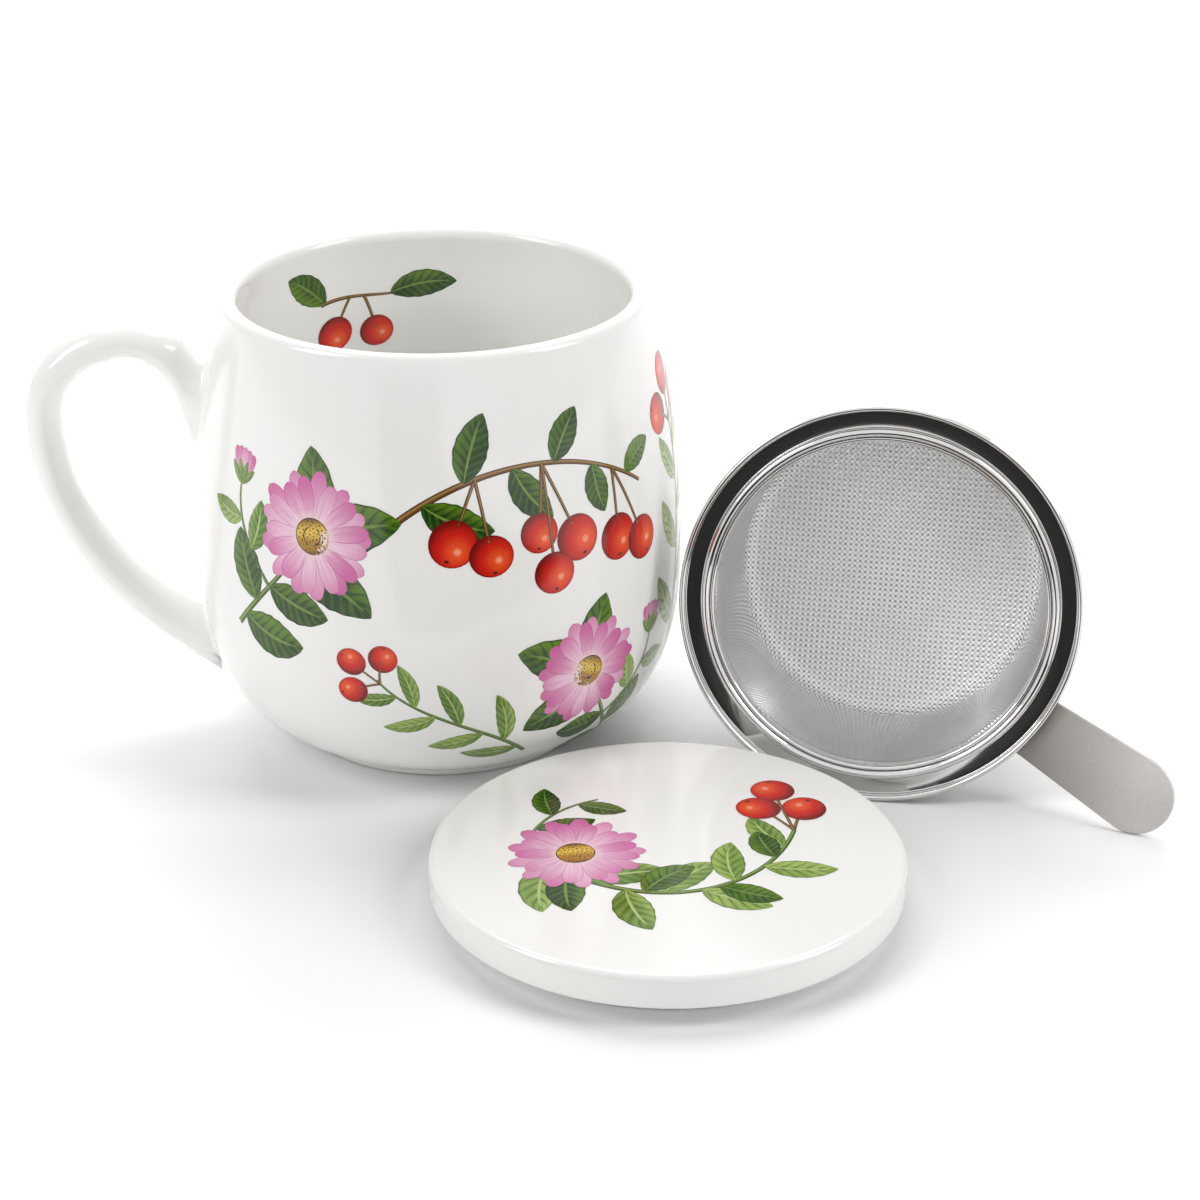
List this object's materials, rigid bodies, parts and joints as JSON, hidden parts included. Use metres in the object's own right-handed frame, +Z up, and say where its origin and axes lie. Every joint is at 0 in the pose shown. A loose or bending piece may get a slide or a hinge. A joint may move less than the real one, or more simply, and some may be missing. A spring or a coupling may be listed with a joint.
{
  "type": "lidded tea mug with infuser",
  "caption": "Bellied porcelain tea mug with a loop handle, a loose saucer-like lid and a steel mesh infuser with a grip tab, set out beside each other.",
  "frame": {"origin": "centre of the mug's foot ring, on the table that all three items stand on", "axes": "+Z up along the mug's axis, the mug's handle towards -X, the lid in front towards -Y"},
  "size_m": [0.2235, 0.1756, 0.0938],
  "materials": {
    "porcelain": "clear gloss glaze over white porcelain",
    "polished_steel": "mirror-polished stainless steel",
    "woven_steel": "fine plain-woven stainless wire mesh",
    "brushed_steel": "fine brushed stainless steel"
  },
  "bodies": {
    "mug": {"mug_body": "porcelain", "mug_handle": "porcelain"},
    "lid": {"lid": "porcelain"},
    "infuser": {"infuser_flange": "polished_steel", "clamp_band": "polished_steel", "mesh_basket": "woven_steel", "grip_tab": "brushed_steel"}
  },
  "joints": [
    {"name": "lid_lift", "type": "slide", "parent": "mug", "child": "lid", "axis": [0.0769, -0.1556, 0.9848], "range_m": [0, 0.12]},
    {"name": "infuser_lift", "type": "slide", "parent": "mug", "child": "infuser", "axis": [0, 0, 1], "range_m": [0, 0.12]}
  ]
}
